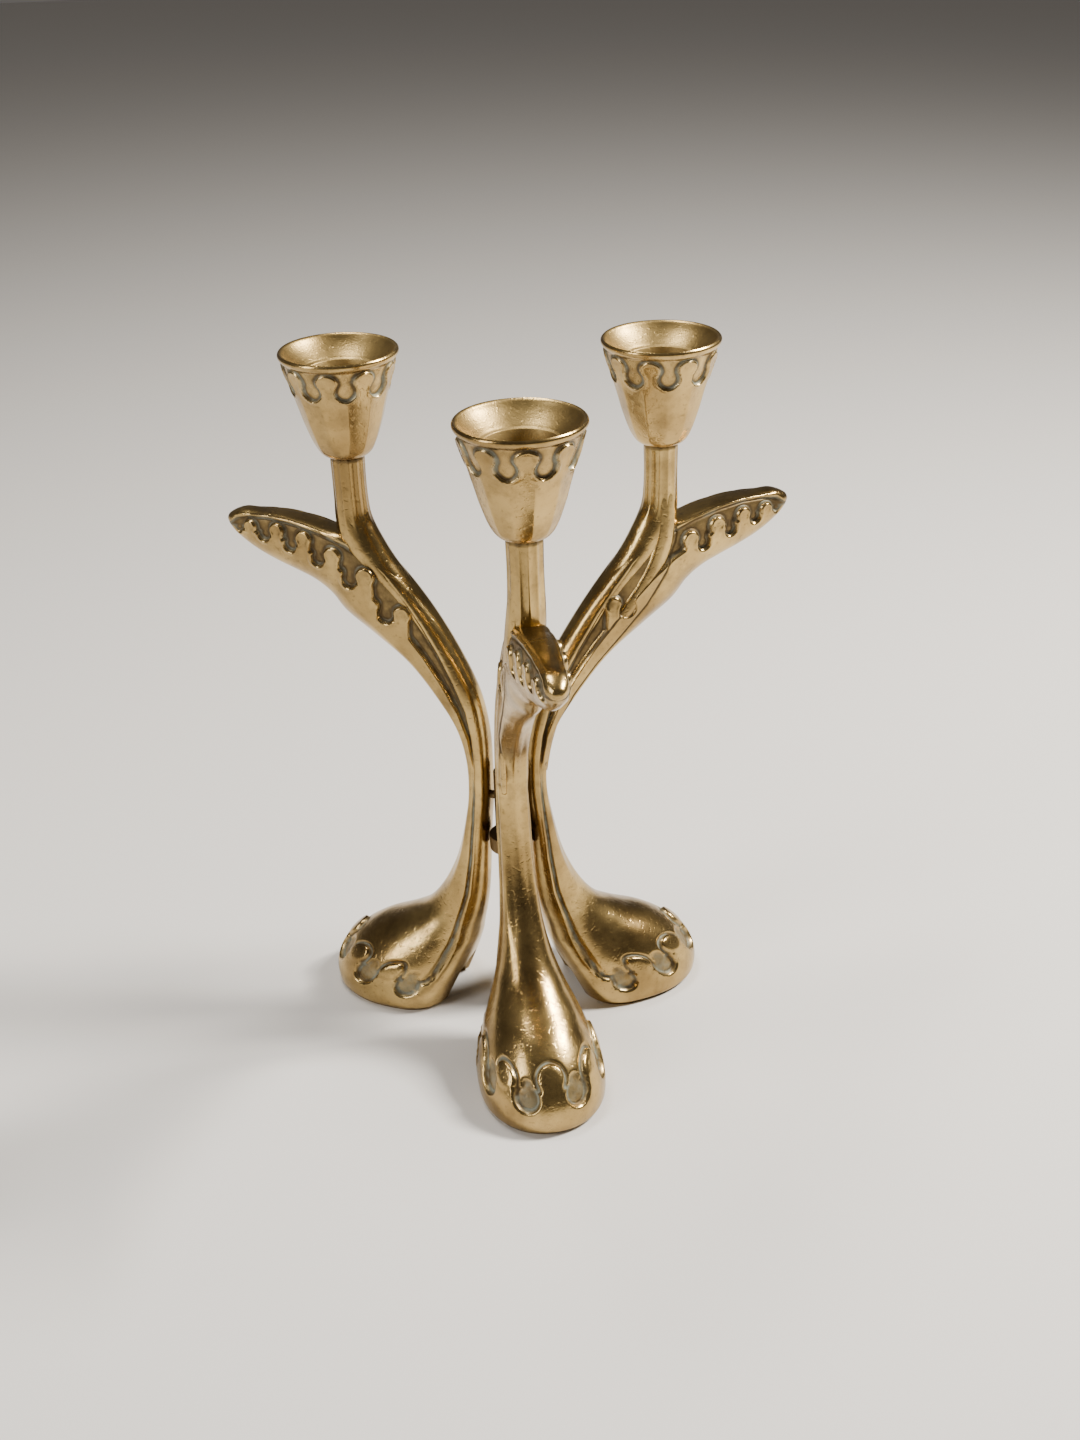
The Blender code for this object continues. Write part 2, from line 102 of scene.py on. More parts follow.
# Stations from the floor up to the leaf tip, in mm: inner r, inner z, outer r, outer z,
# half width, where it is widest, inner and outer squareness
ARM_STATIONS = np.array(
    [
        (30.0, 0.0, 76.5, 0.0, 21.3, 0.45, 3.0, 2.1),
        (27.5, 6.0, 77.5, 6.0, 21.6, 0.45, 3.0, 2.1),
        (25.0, 12.0, 75.5, 12.5, 20.9, 0.45, 2.8, 2.1),
        (22.4, 18.5, 70.3, 19.5, 18.8, 0.43, 2.6, 2.1),
        (20.0, 25.0, 61.5, 26.3, 15.8, 0.42, 2.4, 2.1),
        (17.6, 32.0, 49.5, 32.5, 12.6, 0.42, 2.2, 2.1),
        (15.2, 40.0, 38.5, 39.5, 9.9, 0.44, 2.2, 2.1),
        (12.7, 50.0, 29.0, 50.5, 7.7, 0.47, 2.2, 2.2),
        (10.5, 62.0, 22.0, 63.0, 6.4, 0.50, 2.3, 2.3),
        (8.6, 75.0, 17.4, 77.0, 5.7, 0.50, 2.4, 2.4),
        (6.9, 90.0, 14.7, 92.0, 5.5, 0.50, 2.4, 2.4),
        (6.5, 104.0, 15.0, 106.0, 5.5, 0.50, 2.4, 2.4),
        (7.6, 118.0, 18.8, 118.0, 5.7, 0.50, 2.4, 2.4),
        (10.9, 131.5, 26.5, 129.0, 6.0, 0.50, 2.4, 2.4),
        (18.0, 145.5, 37.0, 140.5, 6.4, 0.48, 2.5, 2.3),
        (27.5, 160.0, 49.5, 149.5, 6.9, 0.46, 2.6, 2.2),
        (38.0, 172.5, 60.5, 157.0, 7.4, 0.42, 2.8, 2.1),
        (47.0, 180.5, 66.2, 163.3, 7.7, 0.38, 3.0, 2.0),
        (56.0, 185.5, 72.0, 167.3, 7.8, 0.34, 3.2, 2.0),
        (66.0, 188.8, 79.0, 170.0, 7.5, 0.32, 3.4, 2.0),
        (77.0, 191.0, 86.5, 172.5, 6.8, 0.32, 3.4, 2.0),
        (87.0, 191.8, 93.3, 175.3, 6.0, 0.34, 3.2, 2.0),
        (96.0, 191.2, 99.2, 178.8, 5.0, 0.38, 2.8, 2.0),
        (102.2, 190.0, 103.6, 182.6, 3.6, 0.44, 2.4, 2.0),
        (105.6, 188.0, 106.0, 186.0, 1.4, 0.50, 2.0, 2.0),
    ]
)


def ease(value, start, end):
    t = np.clip((value - start) / (end - start), 0, 1)
    return t * t * (3 - 2 * t)


def smooth_rows(table, at):
    """Smooth values between the rows of a table, one row for each value of at."""
    last = len(table) - 1
    i = np.clip(np.floor(at).astype(int), 0, last - 1)
    t = (at - i)[..., None]
    a, b, c, d = (table[np.clip(i + k, 0, last)] for k in (-1, 0, 1, 2))
    curve = 2 * b + (c - a) * t + (2 * a - 5 * b + 4 * c - d) * t**2
    return 0.5 * (curve + (3 * b - a - 3 * c + d) * t**3)


def casting_surface(at, turn, inset=0.0, spread=1.0):
    """Points (r, t, z) on the casting for a station along it and a turn round it, both arrays."""
    rows = smooth_rows(ARM_STATIONS, at)
    inner, outer = rows[..., 0:2], rows[..., 2:4]
    along = outer - inner
    length = np.linalg.norm(along, axis=-1)
    half = rows[..., 4] - inset
    c, s = np.cos(turn), np.sin(turn)
    square = np.where(c > 0, rows[..., 6], rows[..., 7])
    reach = np.abs(c) ** (2 / square)
    across = np.sign(s) * np.abs(s) ** (2 / square) * half
    widest = rows[..., 5]
    place = np.where(c > 0, widest * (1 - reach), widest + (1 - widest) * reach)
    place = widest + (place - widest) * spread
    run = (inset + place * (length - 2 * inset)) / length
    flat = inner + along * run[..., None]
    return np.stack([flat[..., 0], across * spread, flat[..., 1]], axis=-1)


# Rows of the casting: down the wall of the hollow, over the floor edge and up the outside
HOLLOW_TOP = 4.2
HOLLOW_ROWS = 20
DOME_ROWS = 7
WALL = 3.2
WALL_AT_FLOOR = 2.9
FOOT_PITCH, STEM_PITCH, LEAF_PITCH = 0.60, 2.0, 0.375
STEM_FROM, LEAF_FROM = 30, 116
FINE_STEPS = 4000
TIP_SPREAD = 0.75
hollow_rows = np.linspace(HOLLOW_TOP, 0.0, HOLLOW_ROWS)
fine_at = np.linspace(0, len(ARM_STATIONS) - 1, FINE_STEPS)
fine = smooth_rows(ARM_STATIONS, fine_at)
inner_step = np.linalg.norm(np.diff(fine[:, 0:2], axis=0), axis=1)
outer_step = np.linalg.norm(np.diff(fine[:, 2:4], axis=0), axis=1)
height = (fine[1:, 1] + fine[1:, 3]) / 2
pitch = np.where(height < STEM_FROM, FOOT_PITCH, np.where(height < LEAF_FROM, STEM_PITCH, LEAF_PITCH))
ticks = np.concatenate([[0], np.cumsum(np.maximum(inner_step, outer_step) / pitch)])
row_count = math.floor(ticks[-1])
outside_rows = np.interp(np.arange(0, row_count + 1) / row_count * ticks[-1], ticks, fine_at)
row_at = np.concatenate([hollow_rows, outside_rows])
row_inset = np.concatenate([np.full(HOLLOW_ROWS, WALL), np.zeros(len(outside_rows))])
row_inset[HOLLOW_ROWS - 1] = WALL_AT_FLOOR
dome = np.sqrt(np.clip(1 - (1 - np.arange(HOLLOW_ROWS) / DOME_ROWS) ** 2, 0, 1))
dome[DOME_ROWS + 1 :] = 1
row_spread = np.concatenate([dome, np.ones(len(outside_rows))])
row_spread[-1] = 0
row_spread[-2] = TIP_SPREAD

# Columns are spread evenly round each row, and closer together on the toe's side of the foot
AROUND = 192
QUARTER_STEPS = 720
LOWEST_RING = 0.02
FOOT_ENDS = (4.5, 7.5)
HEEL_THINNING = 0.62
turn_steps = np.arange(4 * QUARTER_STEPS + 1)
within_quarter = (1 - np.cos(math.pi * (turn_steps % QUARTER_STEPS) / QUARTER_STEPS)) / 2
all_turns = (turn_steps // QUARTER_STEPS + within_quarter) * math.pi / 2
middle_turn = (all_turns[1:] + all_turns[:-1]) / 2
turn_rows = []
for one_at in row_at:
    ring = casting_surface(max(one_at, LOWEST_RING) + 0 * all_turns, all_turns)
    gap = np.linalg.norm(np.diff(ring, axis=0), axis=1)
    foot_share = 1 - ease(np.array(one_at), *FOOT_ENDS)
    gap = gap * (1 - HEEL_THINNING * foot_share * ease(np.cos(middle_turn), -0.35, 0.35))
    run = np.concatenate([[0], np.cumsum(gap)])
    turn_rows.append(np.interp(np.arange(AROUND + 1) / AROUND * run[-1], run, all_turns))
turn = np.array(turn_rows).reshape(-1)
row_index = np.repeat(np.arange(len(row_at)), AROUND + 1)
outside = row_index >= HOLLOW_ROWS

# The arch at the heel lifts the lower edge of both walls
ARCH_HALF_WIDTH = 9.0
ARCH_TOP = 18.0
ARCH_FADE = 6.0
MM_PER_STATION = 6.25
floor_line = casting_surface(np.ones(len(turn)), turn, inset=WALL / 2)[:, 1]
under_arch = (np.abs(floor_line) < ARCH_HALF_WIDTH) & (np.cos(turn) > 0)
arch = ARCH_TOP - ARCH_HALF_WIDTH + np.sqrt(np.clip(ARCH_HALF_WIDTH**2 - floor_line**2, 0, None))
lift = np.where(under_arch, arch / MM_PER_STATION, 0)
at = row_at[row_index]
at = np.where(at < ARCH_FADE, lift + at * (ARCH_FADE - lift) / ARCH_FADE, at)
base = casting_surface(at, turn, row_inset[row_index], row_spread[row_index])
here = smooth_rows(ARM_STATIONS, at)

# Outward directions of the plain casting, from its own grid
grid = base.reshape(len(row_at), AROUND + 1, 3)
along_grid = np.gradient(grid, axis=0)
around_grid = np.roll(grid[:, :-1], -1, axis=1) - np.roll(grid[:, :-1], 1, axis=1)
around_grid = np.concatenate([around_grid, around_grid[:, :1]], axis=1)
normal = np.cross(around_grid, along_grid)
normal /= np.maximum(np.linalg.norm(normal, axis=-1, keepdims=True), 1e-9)
normal = normal.reshape(-1, 3)
centre = np.stack([(here[:, 0] + here[:, 2]) / 2, 0 * at, (here[:, 1] + here[:, 3]) / 2], -1)
if ((base - centre) * normal)[outside].sum() < 0:
    normal = -normal

r, t, z = base.T


def line_distance(path):
    """Distance in the (r, z) plane to a line, and 1 on the line's left as it runs or -1 on its right."""
    best = np.full(len(r), 1e9)
    side = np.ones(len(r))
    for (ra, za), (rb, zb) in zip(path, path[1:]):
        dr, dz = rb - ra, zb - za
        k = np.clip(((r - ra) * dr + (z - za) * dz) / (dr * dr + dz * dz), 0, 1)
        d = np.hypot(r - ra - k * dr, z - za - k * dz)
        closer = d < best - 1e-9
        best = np.where(closer, d, best)
        side = np.where(closer, np.sign(dr * (z - za) - dz * (r - ra)), side)
    return best, side


def soft_min(a, b, blend):
    k = np.clip(0.5 + 0.5 * (b - a) / blend, 0, 1)
    return b * (1 - k) + a * k - blend * k * (1 - k)


def hump(value, middle, width):
    """1 where value is at the middle, falling off smoothly on both sides."""
    return np.exp(-(((value - middle) / width) ** 2))


# The line between the smooth body and the raised border: round the foot, up the heel to
# the waist, then under the bead along the branch and the leaf
border = [(95, -9), (44, -9), (40.5, 5), (35, 11.5), (30.5, 16), (27.4, 21.8), (23.5, 31), (21.1, 39.1)]
border += [(17.3, 50), (14, 65), (11.7, 80), (10.6, 92), (10.4, 105), (11.4, 116), (13.6, 126)]
border += [(18.2, 136.6), (23.6, 147), (30, 157.4), (36.2, 166.2), (43, 174.6), (49.5, 180.4)]
border += [(57, 184.7), (66, 187.9), (77, 190.1), (87, 190.9), (95, 190.3), (100.5, 188.9), (103.6, 186.4)]
# The line between the recessed panel and the lower body, which the knobs stand on
shoulder = [(11.7, 80), (10.9, 92), (10.9, 104), (12.6, 115), (16.6, 126), (22.6, 136.6), (29.2, 146.4)]
shoulder += [(35.5, 154.2), (42, 161.2), (50, 168.8), (58, 174.8), (66, 178.8), (75, 182), (85, 183.8)]
shoulder += [(94, 184.5), (103.5, 184.6)]
border_distance, border_side = line_distance(border)
shoulder_distance, shoulder_side = line_distance(shoulder)
to_border = -(border_distance * border_side)
to_shoulder = shoulder_distance * shoulder_side

# Places on the foot, in mm: round from the toe, and up the wall from the floor
low_ring = casting_surface(2.0 + 0 * all_turns, all_turns)
low_run = np.concatenate([[0], np.cumsum(np.linalg.norm(np.diff(low_ring, axis=0), axis=1))])
foot_round = np.interp(turn, all_turns, low_run - low_run[2 * QUARTER_STEPS])
rise = np.linalg.norm(np.diff(grid, axis=0), axis=-1)
rise[:HOLLOW_ROWS] = 0
foot_up = np.concatenate([np.zeros((1, AROUND + 1)), np.cumsum(rise, axis=0)]).reshape(-1)
toe_column = np.arange(HOLLOW_ROWS, len(row_at)) * (AROUND + 1) + AROUND // 2


def up_wall(level):
    return np.interp(level, base[toe_column, 2], foot_up[toe_column])


def round_headed(aside, up, head, stem, radius, neck):
    """Distance to a bar with a wider round head: the head's height, the bar's span and the bar's share."""
    disc = np.hypot(aside, up - head) - radius
    bar = np.hypot(aside, up - np.clip(up, *stem)) - radius * neck
    return soft_min(disc, bar, 0.6)


# Foot: a round-headed knob at the toe and two on each side, with a drip between each two.
# Each is its place round the foot, the height of its top or bottom, and its radius
FOOT_KNOBS = [(0.0, 22.6, 5.2), (18.8, 21.0, 5.0), (37.0, 19.6, 4.7)]
FOOT_DRIPS = [(9.5, 9.4, 4.7), (28.0, 8.4, 4.7), (46.4, 7.2, 4.6)]
FOOT_LINE = 15.6
FOOT_LINE_FALL = 2.4
FOOT_KNOB_NECK = 0.80
FOOT_DRIP_NECK = 0.70
KNOB_FOOT = 2.0
DRIP_LENGTH = 4.0
FOOT_BLEND = 0.8
from_toe = np.abs(foot_round)
knob = np.full(len(r), 1e9)
knob_head = np.full(len(r), 1e9)
for arc, high, radius in FOOT_KNOBS:
    head = up_wall(high) - radius
    one_knob = round_headed(from_toe - arc, foot_up, head, (KNOB_FOOT, head), radius, FOOT_KNOB_NECK)
    knob = np.minimum(knob, one_knob)
    knob_head = np.minimum(knob_head, np.hypot(from_toe - arc, foot_up - head) - radius)
foot_line = up_wall(FOOT_LINE - FOOT_LINE_FALL * ease(from_toe, 8, 44))
knob = soft_min(knob, foot_up - foot_line, FOOT_BLEND)
drip = np.full(len(r), 1e9)
for arc, low, radius in FOOT_DRIPS:
    end = up_wall(low) + radius
    one_drip = round_headed(from_toe - arc, foot_up, end, (end, end + DRIP_LENGTH), radius, FOOT_DRIP_NECK)
    drip = np.minimum(drip, one_drip)
raised = np.where(z < 34, soft_min(to_border, knob, FOOT_BLEND), to_border)
raised = np.where(z < 30, -soft_min(-raised, drip, FOOT_BLEND), raised)

# Leaf and branch: knobs that rise from the lower body into the panel, with drips between them.
# Each is the point of its top or bottom and its radius
LEFT_KNOBS = [(94.8, 188.4, 2.4), (83.6, 188.9, 2.7), (72.8, 187.6, 2.9), (61.8, 183.0, 3.0)]
LEFT_KNOBS += [(49.8, 176.8, 3.4), (36.8, 163.8, 3.2)]
LEFT_DRIPS = [(100.2, 182.6, 1.9), (89.0, 181.4, 2.5), (78.4, 179.0, 2.6), (67.6, 175.2, 2.7)]
LEFT_DRIPS += [(56.0, 168.6, 2.9), (42.9, 157.0, 3.2)]
RIGHT_KNOBS = [(95.4, 187.6, 2.3), (85.8, 187.8, 2.6), (75.2, 186.6, 2.8), (64.6, 183.4, 2.9)]
RIGHT_KNOBS += [(35.6, 164.0, 3.0)]
RIGHT_DRIPS = [(100.2, 182.6, 1.9), (90.6, 180.8, 2.4), (80.6, 178.2, 2.5), (69.8, 175.2, 2.6)]
RIGHT_DRIPS += [(41.0, 155.8, 3.0)]
LEAF_NECK = 0.76
LEAF_KNOB_LENGTH = 7.0
LEAF_DRIP_LENGTH = 5.0
LEAF_BLEND = 0.9


def leaf_wave(knobs, drips):
    bumps = np.full(len(r), 1e9)
    for kr, kz, radius in knobs:
        head = kz - radius
        stem = (head - LEAF_KNOB_LENGTH, head)
        bumps = np.minimum(bumps, round_headed(r - kr, z, head, stem, radius, LEAF_NECK))
    between = np.full(len(r), 1e9)
    for kr, kz, radius in drips:
        head = kz + radius
        stem = (head, head + LEAF_DRIP_LENGTH)
        between = np.minimum(between, round_headed(r - kr, z, head, stem, radius, LEAF_NECK))
    joined = soft_min(to_shoulder, bumps, LEAF_BLEND)
    return -soft_min(-joined, between, LEAF_BLEND)


body = np.where(t >= 0, leaf_wave(LEFT_KNOBS, LEFT_DRIPS), leaf_wave(RIGHT_KNOBS, RIGHT_DRIPS))

# Raised strip that carries the neck down the clockwise side of the branch
STRIP = [(56.3, 194), (55.9, 182), (52.3, 171.5), (45.8, 160.8), (37.4, 151.2), (28.2, 141.2)]
STRIP += [(20.4, 131), (15.2, 119), (12.8, 106)]
strip_half = np.interp(z, [106, 130, 160, 185], [1.2, 2.3, 2.7, 2.9])
strip = np.where(t < 0, line_distance(STRIP)[0] - strip_half, 9.0)

# Heights and depths of the relief, in mm
BORDER_STEP = 0.55
FOOT_STEP = 0.50
KNOB_CROWN = 0.25
GROOVE_DEPTH = 0.75
DRIP_DEPTH = 0.95
GROOVE_LIP = 0.22
BEAD_STEP = 0.35
PANEL_DEPTH = 1.40
PANEL_EDGE_DEPTH = 0.25
PANEL_LIP = 0.26
STRIP_GROOVE = 0.35
RIDGE_HEIGHT = 0.34
FURROW_DEPTH = 0.30
STEM_EDGE = 0.22
TROUGH_DEPTH = 0.9

low_zone = 1 - ease(z, 84, 108)
high_zone = ease(z, 92, 112)
foot_zone = (1 - ease(z, 26, 34)) * (z < 34)
panel = np.minimum(raised, body)
relief = low_zone * BORDER_STEP * ease(-raised, -0.35, 0.55)
relief += foot_zone * FOOT_STEP * ease(-raised, -0.2, 1.2)
relief += foot_zone * KNOB_CROWN * ease(-knob_head, 0.3, 2.4)
relief -= low_zone * GROOVE_DEPTH * hump(raised, 0.6, 0.62)
relief -= foot_zone * DRIP_DEPTH * ease(-drip, -0.3, 2.0) * (raised > 0)
relief += low_zone * GROOVE_LIP * hump(raised, -0.55, 0.4)
relief += high_zone * BEAD_STEP * ease(-raised, -0.1, 1.1)
relief -= high_zone * (PANEL_DEPTH * ease(panel, -0.40, 0.95) + PANEL_EDGE_DEPTH * hump(panel, 0.7, 0.5))
relief += high_zone * PANEL_LIP * hump(body, -0.6, 0.5) * ease(raised, 0.4, 1.4)
relief -= high_zone * STRIP_GROOVE * hump(strip, 0.35, 0.35)

# The stem's outer face: a fine ridge down the middle with a soft furrow on each side
stem_zone = ease(z, 40, 58) * (1 - ease(z, 150, 172)) * (np.cos(turn) < -0.2)
across_share = np.abs(t) / np.maximum(here[:, 4], 0.1)
relief += stem_zone * RIDGE_HEIGHT * hump(across_share, 0.0, 0.20)
relief -= stem_zone * FURROW_DEPTH * hump(across_share, 0.52, 0.20)
relief += stem_zone * STEM_EDGE * hump(across_share, 0.86, 0.10)

# Leaf top: a shallow trough inside a thin rim
from_top = np.maximum(0, here[:, 1] - z)
trough = ease(r, 58, 68) * (1 - ease(r, 90, 101)) * (np.cos(turn) > 0.0)
trough = trough * (1 - ease(across_share, 0.62, 0.86)) * (1 - ease(from_top, 1.5, 3.0))
relief = relief * (1 - trough) - trough * TROUGH_DEPTH

# The floor edge and the tip stay plain, so that the casting keeps its size
relief *= ease(z, 0.4, 2.0) * (1 - ease(r, 98.5, 103.5)) * outside
shape = base + normal * relief[:, None]
shape[:, 2] = np.maximum(shape[:, 2], 0.0)

# How dark and dull each place is: hollows keep their patina, high places are rubbed bright, and the inside of
# the hollow foot gets patina and painted shade
edge_low = hump(raised, 0.55, 0.65) * low_zone
edge_high = ease(panel, -0.1, 0.6) * high_zone * (0.62 + 0.38 * hump(panel, 0.5, 0.8))
drip_dark = foot_zone * 0.50 * ease(-drip, 0.0, 1.5) * (raised > 0)
strip_dark = high_zone * hump(strip, 0.3, 0.5)
# Patina and painted shade: the inside of the hollow foot is darkened
inside_patina_and_shade = np.where(outside, 0.0, 0.85)
hollow = np.clip(np.maximum.reduce([edge_low, edge_high, drip_dark, strip_dark]), 0, 1) * outside
hollow = (hollow + inside_patina_and_shade) * (1 - trough) + 0.16 * trough

# Where pale green residue is left: in the grooves, in the foot's drips and along the panel's edge
residue = hump(raised, 0.6, 0.5) * low_zone + foot_zone * 0.42 * ease(-drip, 0.2, 1.8) * (raised > 0)
residue = residue + high_zone * 0.55 * hump(panel, 0.55, 0.45) * (1 - trough)
residue = np.clip(residue, 0, 1) * outside

MERGE_DISTANCE = 2e-6
INSIDE_CAD_BOX = 0.00003


def in_frame(points, place):
    """Casting points (r, t, z) in mm, bent as this casting is and turned to its place, in metres."""
    turned = math.radians(ARM_ANGLES[place])
    out = points[:, 0] + FOOT_BEND[place] * (1 - ease(points[:, 2], 25, 85))
    out = out + CUP_BEND[place] * ease(points[:, 2], 95, 176)
    x = out * math.cos(turned) - points[:, 1] * math.sin(turned) + AXIS_X
    y = out * math.sin(turned) + points[:, 1] * math.cos(turned) + AXIS_Y
    return np.stack([x, y, points[:, 2]], axis=-1) * 0.001


def smooth_object(bm, name):
    """Turn the faces outwards, shade them smooth and put the piece in the scene."""
    bmesh.ops.recalc_face_normals(bm, faces=bm.faces[:])
    for face in bm.faces:
        face.smooth = True
    mesh = bpy.data.meshes.new(name)
    bm.to_mesh(mesh)
    bm.free()
    made = bpy.data.objects.new(name, mesh)
    bpy.context.scene.collection.objects.link(made)
    return made


# Each casting is a flat grid wrapped on to its shape, with its seam and both ends closed
arms = {}
for place in ARM_ANGLES:
    points = in_frame(shape, place)
    low_corner = np.array(cad_box[0])[:2] + INSIDE_CAD_BOX
    high_corner = np.array(cad_box[1])[:2] - INSIDE_CAD_BOX
    points[:, :2] = np.clip(points[:, :2], low_corner, high_corner)
    bm = bmesh.new()
    bmesh.ops.create_grid(bm, x_segments=AROUND, y_segments=len(row_at) - 1, size=0.5)
    dark = bm.verts.layers.float.new("hollow")
    pale = bm.verts.layers.float.new("residue")
    for vert in bm.verts:
        column = round((vert.co.x + 0.5) * AROUND)
        row = round((vert.co.y + 0.5) * (len(row_at) - 1))
        k = row * (AROUND + 1) + column
        vert.co = points[k]
        vert[dark] = hollow[k]
        vert[pale] = residue[k]
    bmesh.ops.remove_doubles(bm, verts=bm.verts[:], dist=MERGE_DISTANCE)
    bmesh.ops.triangulate(bm, faces=bm.faces[:], quad_method="SHORT_EDGE")
    arm = smooth_object(bm, "casting_" + place)
    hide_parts("arm_" + place)
    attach(arm, "root")
    arms[place] = arm


def threshold(tree, source, low, high):
    """0 where the source is under low, 1 where it is over high."""
    made = tree.nodes.new("ShaderNodeValToRGB")
    for element, place, shade in zip(made.color_ramp.elements, (low, high), (0.0, 1.0)):
        element.position = place
        element.color = (shade, shade, shade, 1.0)
    tree.links.new(source, made.inputs["Fac"])
    return made.outputs["Color"]


def mix_colour(tree, factor, a, b):
    made = tree.nodes.new("ShaderNodeMix")
    made.data_type = "RGBA"
    tree.links.new(factor, made.inputs[0])
    for socket, value in ((made.inputs[6], a), (made.inputs[7], b)):
        if hasattr(value, "links"):
            tree.links.new(value, socket)
        else:
            socket.default_value = (*value, 1.0)
    return made.outputs[2]


def maths(tree, operation, *values, clamp=False):
    made = tree.nodes.new("ShaderNodeMath")
    made.operation = operation
    made.use_clamp = clamp
    for socket, value in zip(made.inputs, values):
        if hasattr(value, "links"):
            tree.links.new(value, socket)
        else:
            socket.default_value = value
    return made.outputs[0]


SPECK_BROWN = (0.13, 0.085, 0.035)
STAIN_BROWN = (0.17, 0.11, 0.045)
PATINA_AND_SHADE_BROWN = (0.070, 0.045, 0.020)
PALE_GREEN = (0.27, 0.30, 0.235)
SATIN_OLIVE = (0.27, 0.195, 0.075)
SCRATCH_STRETCH = (1.0, 14.0, 6.0)


def aged_brass(name, bright, worn_and_shaded_tone, roughness):
    """Cast brass, polished by hand: cloudy, pitted and scratched, with dark hollows and pale green in them."""
    made = bpy.data.materials.new(name)
    made.use_nodes = True
    tree = made.node_tree
    shader = tree.nodes["Principled BSDF"]
    where = tree.nodes.new("ShaderNodeTexCoord").outputs["Object"]

    def marked(label):
        found = tree.nodes.new("ShaderNodeAttribute")
        found.attribute_name = label
        return found.outputs["Fac"]

    def noise(scale, detail, rough=0.55, source=where):
        found = tree.nodes.new("ShaderNodeTexNoise")
        found.inputs["Scale"].default_value = scale
        found.inputs["Detail"].default_value = detail
        found.inputs["Roughness"].default_value = rough
        tree.links.new(source, found.inputs["Vector"])
        return found.outputs["Fac"]

    depth, left_green, satin = marked("hollow"), marked("residue"), marked("inside")
    colour = mix_colour(tree, threshold(tree, noise(34, 4), 0.34, 0.66), worn_and_shaded_tone, bright)
    specks = maths(tree, "MULTIPLY", threshold(tree, noise(560, 3, 0.6), 0.60, 0.70), 0.45)
    colour = mix_colour(tree, specks, colour, SPECK_BROWN)
    stains = maths(tree, "MULTIPLY", threshold(tree, noise(95, 6, 0.68), 0.46, 0.66), 0.55)
    colour = mix_colour(tree, stains, colour, STAIN_BROWN)

    # Patina thickens in the hollows and breaks up at their edges; the same dark mix carries the painted shade
    # inside the hollow feet and the cups
    broken = maths(tree, "MULTIPLY_ADD", noise(210, 5, 0.65), 0.7, -0.35)
    patina_and_shade = threshold(tree, maths(tree, "ADD", depth, broken), 0.24, 0.74)
    colour = mix_colour(tree, maths(tree, "MULTIPLY", patina_and_shade, 0.88), colour, PATINA_AND_SHADE_BROWN)
    green = maths(tree, "MULTIPLY", threshold(tree, noise(150, 4, 0.6), 0.40, 0.58), left_green)
    colour = mix_colour(tree, maths(tree, "MULTIPLY", green, 0.72), colour, PALE_GREEN)
    colour = mix_colour(tree, maths(tree, "MULTIPLY", satin, 0.50), colour, SATIN_OLIVE)
    tree.links.new(colour, shader.inputs["Base Color"])
    metal = maths(tree, "SUBTRACT", 1.0, maths(tree, "MULTIPLY", green, 0.75))
    metal = maths(tree, "SUBTRACT", metal, maths(tree, "MULTIPLY", patina_and_shade, 0.20), clamp=True)
    tree.links.new(metal, shader.inputs["Metallic"])

    smears = maths(tree, "MULTIPLY", noise(75, 5, 0.6), 0.20)
    rough = maths(tree, "ADD", smears, roughness - 0.10)
    rough = maths(tree, "ADD", rough, maths(tree, "MULTIPLY", satin, 0.16))
    rough = maths(tree, "ADD", rough, maths(tree, "MULTIPLY", patina_and_shade, 0.34), clamp=True)
    tree.links.new(rough, shader.inputs["Roughness"])

    # Surface: soft casting waves, pits, fine polishing scratches and grain
    stretched = tree.nodes.new("ShaderNodeMapping")
    stretched.inputs["Scale"].default_value = SCRATCH_STRETCH
    tree.links.new(where, stretched.inputs["Vector"])
    waves = maths(tree, "MULTIPLY", noise(62, 3), 0.55)
    pits = maths(tree, "MULTIPLY", threshold(tree, noise(640, 2, 0.5), 0.30, 0.42), 0.10)
    scratches = maths(tree, "MULTIPLY", noise(90, 3, 0.7, stretched.outputs["Vector"]), 0.06)
    coarse = maths(tree, "MULTIPLY_ADD", satin, 0.10, 0.02)
    grain = maths(tree, "MULTIPLY", noise(1500, 2, 0.6), coarse)
    surface = maths(tree, "ADD", maths(tree, "ADD", waves, pits), scratches)
    surface = maths(tree, "ADD", surface, grain)
    bump = tree.nodes.new("ShaderNodeBump")
    bump.inputs["Strength"].default_value = 0.55
    bump.inputs["Distance"].default_value = 0.0007
    tree.links.new(surface, bump.inputs["Height"])
    tree.links.new(bump.outputs["Normal"], shader.inputs["Normal"])
    return made


arm_brass = aged_brass("aged_arm_brass", (0.56, 0.395, 0.152), (0.29, 0.190, 0.070), 0.235)
for arm in arms.values():
    arm.data.materials.append(arm_brass)


# ---------------------------------------------------------------------------
# Necks: the post under each cup, cast with the arm and filed to flat facets, which
# spreads where it meets the branch
# ---------------------------------------------------------------------------

NECK_FACETS = 12
NECK_STEPS = 96
NECK_FACET_DEPTH = 2.2
# Heights between which the facets fade out, so that the root is round
NECK_FACET_FADE = (184, 198)
STRIP_FACETS = 8
STRIP_STEPS = 48
STRIP_FACET_DEPTH = 0.6
ROWS_PER_SPAN = 12
# Points down the neck and on along the top of the branch: r, t, z, half width across, half depth
NECK_PATH = [
    (56.3, 0.0, 214.6, 5.55, 5.55),
    (56.3, 0.0, 213.6, 5.8, 5.8),
    (56.3, 0.0, 206.0, 5.7, 5.7),
    (56.2, 0.0, 199.0, 5.8, 5.8),
    (55.9, 0.0, 193.0, 6.0, 6.2),
    (54.6, 0.0, 187.2, 6.2, 6.9),
    (51.2, 0.0, 181.4, 6.2, 6.6),
    (45.6, 0.0, 174.9, 5.9, 5.2),
    (38.6, 0.0, 167.4, 5.5, 4.3),
    (30.4, 0.0, 156.9, 5.0, 3.7),
    (23.4, 0.0, 146.0, 4.5, 3.3),
    (17.0, 0.0, 133.6, 4.1, 3.1),
    (12.8, 0.0, 121.0, 3.6, 2.6),
]
